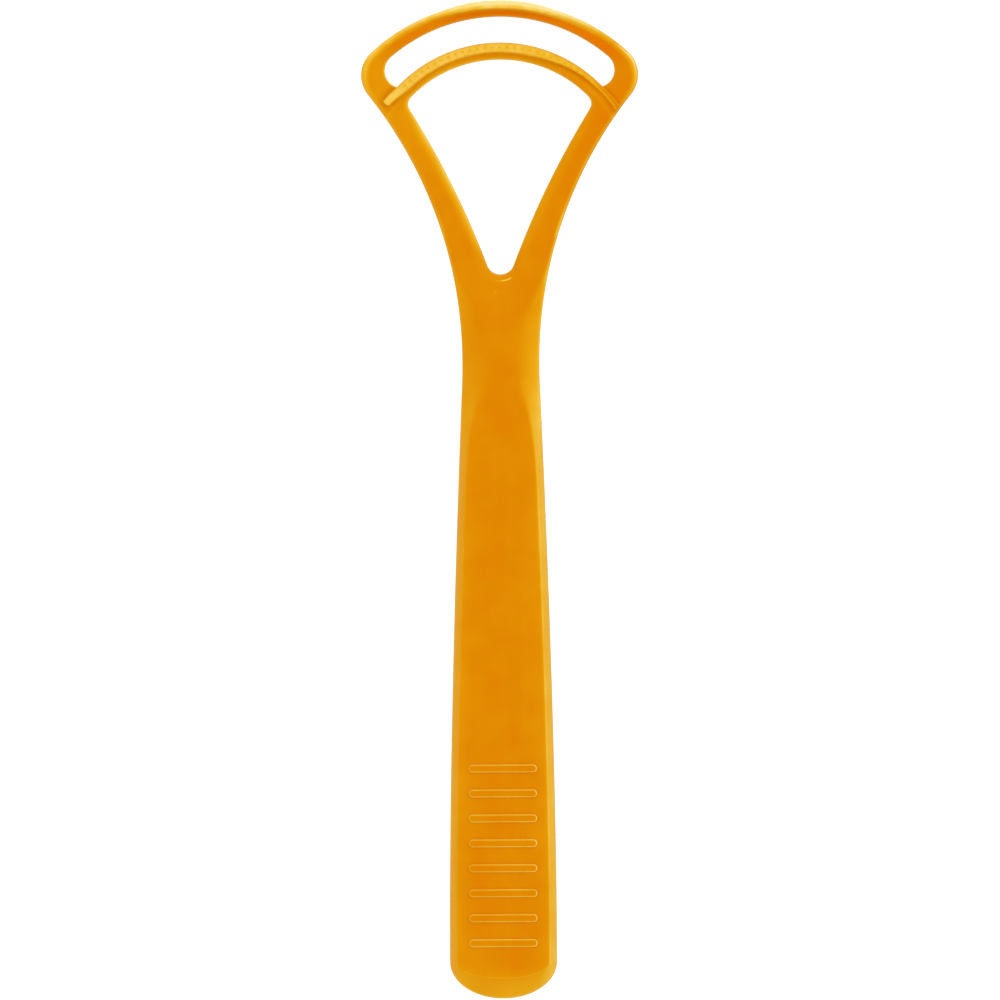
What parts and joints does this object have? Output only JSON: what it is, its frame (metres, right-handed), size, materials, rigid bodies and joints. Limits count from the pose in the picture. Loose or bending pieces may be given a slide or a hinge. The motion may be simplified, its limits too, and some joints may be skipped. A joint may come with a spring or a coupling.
{
  "type": "tongue scraper",
  "caption": "One-piece moulded tongue scraper: long flat handle, crowned neck and a forked head with a toothed and a smooth scraping bow.",
  "frame": {"origin": "middle of the tool's length and width, on the flat back that it lies on", "axes": "+X to the right seen from the front, +Y along the handle towards the head, +Z from the flat back to the blades"},
  "size_m": [0.0444, 0.16, 0.0035],
  "materials": {
    "orange_plastic": "smooth, slightly translucent orange moulded polypropylene",
    "blade_plastic": "the same orange plastic, lighter where it is thin"
  },
  "bodies": {
    "root": {"handle": "orange_plastic", "grip_ribs": "orange_plastic", "neck": "orange_plastic", "yoke": "orange_plastic", "left_arm": "orange_plastic", "right_arm": "orange_plastic", "outer_bow": "orange_plastic", "inner_bow": "orange_plastic", "smooth_blade": "blade_plastic", "toothed_blade": "blade_plastic"}
  },
  "joints": []
}
